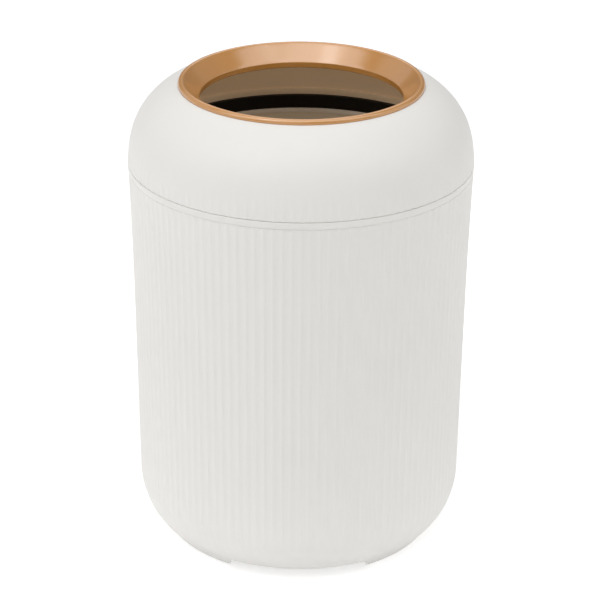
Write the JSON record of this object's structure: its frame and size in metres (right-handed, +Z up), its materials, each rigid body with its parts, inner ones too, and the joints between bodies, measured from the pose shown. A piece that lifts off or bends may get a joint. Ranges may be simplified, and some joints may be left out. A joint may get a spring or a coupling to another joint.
{
  "type": "wastebasket",
  "caption": "Round fluted waste bin with a domed lift-off collar, a metallised mouth ring, a bag-holding ring and a lift-out inner bucket.",
  "frame": {"origin": "on the floor, at the centre of the three feet", "axes": "+Z up along the bin's axis; the front, with a gap between two feet, faces -Y; +X to the right seen from the front"},
  "size_m": [0.225, 0.225, 0.3137],
  "materials": {
    "white_plastic": "fine matt moulded polypropylene",
    "bucket_plastic": "satin moulded polypropylene",
    "black_plastic": "satin black moulded plastic",
    "copper_finish": "satin copper-coloured metallised plastic",
    "pad_rubber": "soft matt rubber"
  },
  "bodies": {
    "barrel": {"outer_barrel": "white_plastic", "foot_pad_rear": "pad_rubber", "foot_pad_left": "pad_rubber", "foot_pad_right": "pad_rubber"},
    "bucket": {"inner_bucket": "bucket_plastic"},
    "bag_ring": {"bag_ring": "black_plastic"},
    "collar": {"top_collar": "white_plastic", "mouth_ring": "copper_finish"}
  },
  "joints": [
    {"name": "bucket_lift", "type": "slide", "parent": "barrel", "child": "bucket", "axis": [0, 0, 1], "range_m": [0, 0.26]},
    {"name": "bag_ring_lift", "type": "slide", "parent": "bucket", "child": "bag_ring", "axis": [0, 0, 1], "range_m": [0, 0.06]},
    {"name": "collar_lift", "type": "slide", "parent": "bag_ring", "child": "collar", "axis": [0, 0, 1], "range_m": [0, 0.12]}
  ]
}
